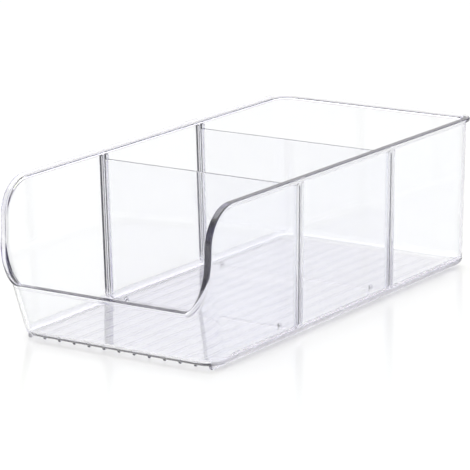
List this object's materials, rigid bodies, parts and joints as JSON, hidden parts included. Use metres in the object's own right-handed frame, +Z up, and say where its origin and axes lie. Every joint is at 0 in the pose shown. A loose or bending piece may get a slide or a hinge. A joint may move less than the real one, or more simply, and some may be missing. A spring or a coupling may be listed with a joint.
{
  "type": "food storage bin",
  "caption": "Clear open-top storage bin with a low scooped front, an outturned lip and lift-out dividers that stand in moulded guide ribs.",
  "frame": {"origin": "centre of the footprint, on the surface that the bin stands on", "axes": "+Z up, -Y towards the low scooped front, +X to the right seen from the front"},
  "size_m": [0.1514, 0.3067, 0.0977],
  "materials": {
    "clear_tub": "clear, polished, faint cool grey where thick",
    "clear_divider": "clear, polished"
  },
  "bodies": {
    "bin": {"bin": "clear_tub"},
    "divider_front": {"divider_front": "clear_divider"},
    "divider_rear": {"divider_rear": "clear_divider"}
  },
  "joints": [
    {"name": "divider_front_lift", "type": "slide", "parent": "bin", "child": "divider_front", "axis": [0, 0, 1], "range_m": [0, 0.1]},
    {"name": "divider_rear_lift", "type": "slide", "parent": "bin", "child": "divider_rear", "axis": [0, 0, 1], "range_m": [0, 0.1]}
  ]
}
